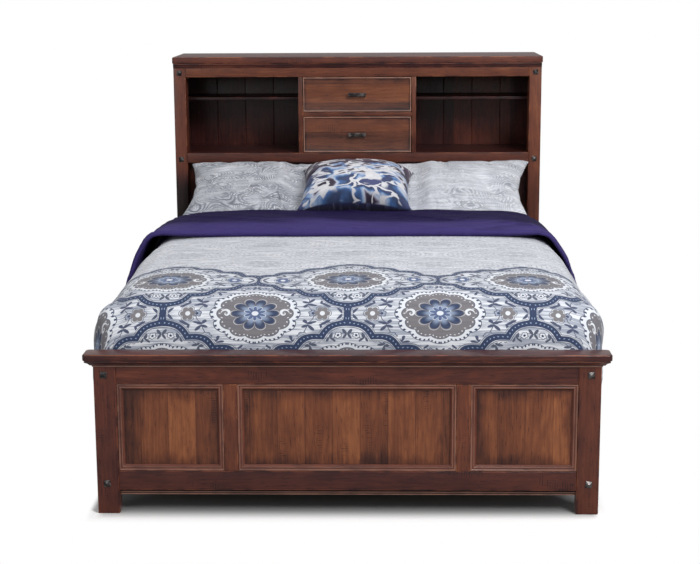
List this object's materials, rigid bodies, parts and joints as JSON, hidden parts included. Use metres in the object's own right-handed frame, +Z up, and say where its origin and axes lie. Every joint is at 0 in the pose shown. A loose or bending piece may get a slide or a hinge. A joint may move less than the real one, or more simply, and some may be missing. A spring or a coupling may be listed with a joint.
{
  "type": "bed with storage headboard",
  "caption": "Bed with a bookcase headboard holding two drawers between open cubbies, a panelled footboard, side rails, slats, mattress and made-up bedding.",
  "frame": {"origin": "on the floor, in the middle of the bed's footprint", "axes": "+X to the right seen from the foot, +Y towards the headboard, +Z up"},
  "size_m": [1.832, 2.521, 1.417],
  "materials": {
    "wood": "reddish brown stain over open grain, satin lacquer, lightly distressed",
    "dark_wood": "dark brown stain, satin",
    "plain_wood": "plain unstained softwood",
    "iron": "dark bronze, hammered",
    "ticking": "woven ticking",
    "printed_fabric": "slubbed cotton with a printed border",
    "purple_fabric": "plain weave with a slight sheen",
    "cushion_fabric": "printed cotton with a blotched pattern"
  },
  "bodies": {
    "root": {"footboard_left_post": "wood", "footboard_right_post": "wood", "footboard_left_stile": "wood", "footboard_right_stile": "wood", "footboard_top_rail": "wood", "footboard_bottom_rail": "wood", "footboard_crown": "wood", "footboard_crown_moulding": "wood", "footboard_left_panel": "wood", "footboard_centre_panel": "wood", "footboard_right_panel": "wood", "footboard_left_panel_bead": "wood", "footboard_centre_panel_bead": "wood", "footboard_right_panel_bead": "wood", "headboard_left_post": "wood", "headboard_right_post": "wood", "headboard_left_side": "wood", "headboard_right_side": "wood", "headboard_top_rail": "wood", "headboard_bottom_rail": "wood", "headboard_crown": "wood", "headboard_crown_moulding": "wood", "headboard_lower_panel": "wood", "bookcase_left_divider": "wood", "bookcase_right_divider": "wood", "bookcase_floor": "wood", "drawer_shelf": "wood", "left_side_rail": "wood", "right_side_rail": "wood", "footboard_base_strip": "dark_wood", "bookcase_left_shelf": "dark_wood", "bookcase_right_shelf": "dark_wood", "bookcase_back": "dark_wood", "slat_1": "plain_wood", "slat_2": "plain_wood", "slat_3": "plain_wood", "slat_4": "plain_wood", "centre_leg_foot": "plain_wood", "centre_leg_head": "plain_wood", "footboard_nail_top_left": "iron", "footboard_nail_top_right": "iron", "footboard_nail_bottom_left": "iron", "footboard_nail_bottom_right": "iron", "headboard_nail_top_left": "iron", "headboard_nail_top_right": "iron", "headboard_nail_bottom_left": "iron", "headboard_nail_bottom_right": "iron", "foundation": "ticking", "mattress": "ticking", "comforter": "printed_fabric", "left_pillow": "printed_fabric", "right_pillow": "printed_fabric", "comforter_turnback": "purple_fabric", "throw_cushion": "cushion_fabric"},
    "upper_drawer": {"upper_drawer_front": "wood", "upper_drawer_box": "plain_wood", "upper_drawer_pull": "iron"},
    "lower_drawer": {"lower_drawer_front": "wood", "lower_drawer_box": "plain_wood", "lower_drawer_pull": "iron"}
  },
  "joints": [
    {"name": "upper_drawer_slide", "type": "slide", "parent": "root", "child": "upper_drawer", "axis": [0, -1, 0], "range_m": [0, 0.25]},
    {"name": "lower_drawer_slide", "type": "slide", "parent": "root", "child": "lower_drawer", "axis": [0, -1, 0], "range_m": [0, 0.25]}
  ]
}
